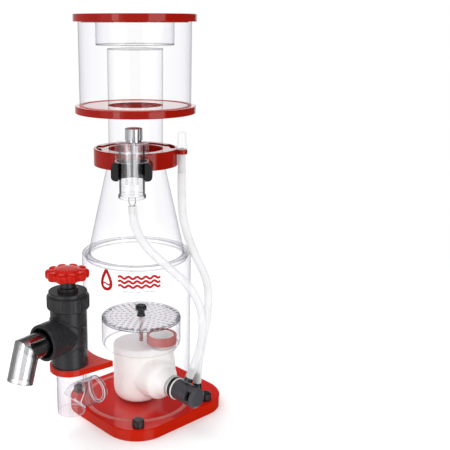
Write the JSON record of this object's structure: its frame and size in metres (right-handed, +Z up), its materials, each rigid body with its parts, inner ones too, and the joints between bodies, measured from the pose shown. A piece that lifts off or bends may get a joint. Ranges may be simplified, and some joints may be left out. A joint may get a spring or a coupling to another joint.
{
  "type": "protein skimmer",
  "caption": "In-sump protein skimmer: clear body and cone on a red base, lift-off foam cup, needle-wheel pump, venturi, air silencer and a gate-valve water outlet.",
  "frame": {"origin": "underside of the base plate, below the axis of the body", "axes": "+Z up the body axis, -Y towards the venturi, -X towards the gate valve and water outlet"},
  "size_m": [0.3254, 0.2075, 0.5505],
  "materials": {
    "red_acrylic": "gloss, cast acrylic",
    "clear_acrylic": "clear gloss acrylic",
    "dark_pvc": "satin charcoal PVC",
    "black_plastic": "satin black",
    "white_plastic": "satin white",
    "silicone": "translucent milky silicone",
    "rubber": "matt black",
    "core_steel": "laminated, varnished",
    "coil_copper": "enamelled copper wire",
    "magnet": "plastic-bonded ferrite",
    "ceramic": "polished ceramic"
  },
  "bodies": {
    "stand": {"airline_socket": "silicone", "base_plate": "red_acrylic", "base_thumbscrews": "black_plastic", "body_top_ring": "clear_acrylic", "body_tube": "clear_acrylic", "bracket": "red_acrylic", "bubble_cup": "clear_acrylic", "cable_gland": "black_plastic", "collar_oring": "rubber", "collar_socket": "red_acrylic", "cone": "clear_acrylic", "connecting_tube": "clear_acrylic", "hose_airline": "silicone", "hose_holder": "red_acrylic", "hose_silencer": "silicone", "outlet_seal": "rubber", "pump_can": "white_plastic", "pump_shaft": "ceramic", "riser_floor": "clear_acrylic", "riser_tube": "clear_acrylic", "rotor_well": "white_plastic", "shaft_bushes": "ceramic", "silencer_body": "clear_acrylic", "silencer_cap": "clear_acrylic", "silencer_clip": "black_plastic", "silencer_tube": "clear_acrylic", "stator_coils": "coil_copper", "stator_core": "core_steel", "valve_body": "dark_pvc", "valve_bonnet": "dark_pvc", "valve_gland": "dark_pvc", "venturi_barb_side": "black_plastic", "venturi_barb_top": "black_plastic", "venturi_barrel": "dark_pvc", "venturi_oring": "silicone", "venturi_ring": "dark_pvc", "volute_cover": "white_plastic", "volute_housing": "white_plastic", "wall_boss": "white_plastic"},
    "lock_ring": {"collar_lock_ring": "red_acrylic"},
    "collection_cup": {"neck_tube": "clear_acrylic", "cup_floor": "red_acrylic", "cup_wall": "clear_acrylic"},
    "lid": {"lid_disc": "red_acrylic", "lid_skirt": "clear_acrylic"},
    "diffuser": {"bubble_plate": "clear_acrylic", "bubble_plate_knob": "black_plastic", "bubble_plate_rod": "red_acrylic", "bubble_rod_spacer": "clear_acrylic"},
    "pump_rotor": {"rotor_magnet": "magnet", "impeller": "white_plastic"},
    "pump_union": {"pump_union_ring": "red_acrylic"},
    "valve_wheel": {"handwheel": "red_acrylic", "valve_stem": "dark_pvc"},
    "gate_plug": {"valve_plug": "white_plastic"},
    "union_nut": {"valve_union_nut": "dark_pvc"},
    "outlet_elbow": {"outlet_stub": "clear_acrylic", "outlet_drop": "clear_acrylic"},
    "air_screw": {"silencer_knob": "black_plastic"},
    "airline_plug": {"airline_stopper": "clear_acrylic"}
  },
  "joints": [
    {"name": "lock_ring_turn", "type": "hinge", "parent": "stand", "child": "lock_ring", "pos_m": [0, 0, 0.37], "axis": [0, 0, 1], "range_deg": [0, 30]},
    {"name": "cup_lift", "type": "slide", "parent": "lock_ring", "child": "collection_cup", "axis": [0, 0, 1], "range_m": [0, 0.09]},
    {"name": "lid_lift", "type": "slide", "parent": "collection_cup", "child": "lid", "axis": [0, 0, 1], "range_m": [0, 0.06]},
    {"name": "diffuser_lift", "type": "slide", "parent": "stand", "child": "diffuser", "axis": [0, 0, 1], "range_m": [0, 0.03]},
    {"name": "rotor_spin", "type": "hinge", "parent": "stand", "child": "pump_rotor", "pos_m": [0.004, 0, 0.0575], "axis": [0, 1, 0], "continuous": true},
    {"name": "pump_union_turn", "type": "hinge", "parent": "stand", "child": "pump_union", "pos_m": [0.0195, -0.0305, 0.11], "axis": [0, 0, 1], "range_deg": [0, 360]},
    {"name": "handwheel_turn", "type": "hinge", "parent": "stand", "child": "valve_wheel", "pos_m": [-0.1155, 0, 0.228], "axis": [0, 0, 1], "range_deg": [-2160, 0]},
    {"name": "gate_slide", "type": "slide", "parent": "stand", "child": "gate_plug", "axis": [0, 0, 1], "range_m": [-0.0468, 0]},
    {"name": "union_nut_turn", "type": "hinge", "parent": "stand", "child": "union_nut", "pos_m": [-0.1155, 0, 0.19], "axis": [0, 0, 1], "range_deg": [0, 540]},
    {"name": "elbow_turn", "type": "hinge", "parent": "stand", "child": "outlet_elbow", "pos_m": [-0.1155, 0, 0.1477], "axis": [-0.9848, -0.1736, 0], "range_deg": [-90, 90]},
    {"name": "air_screw_turn", "type": "hinge", "parent": "stand", "child": "air_screw", "pos_m": [-0.051, -0.0582, 0.4], "axis": [0, 0, 1], "range_deg": [0, 270]},
    {"name": "airline_plug_pull", "type": "slide", "parent": "stand", "child": "airline_plug", "axis": [0, 0, 1], "range_m": [0, 0.022]}
  ],
  "couplings": [
    {"joint": "gate_slide", "follows": "handwheel_turn", "m_per_rad": 0.0012414}
  ]
}
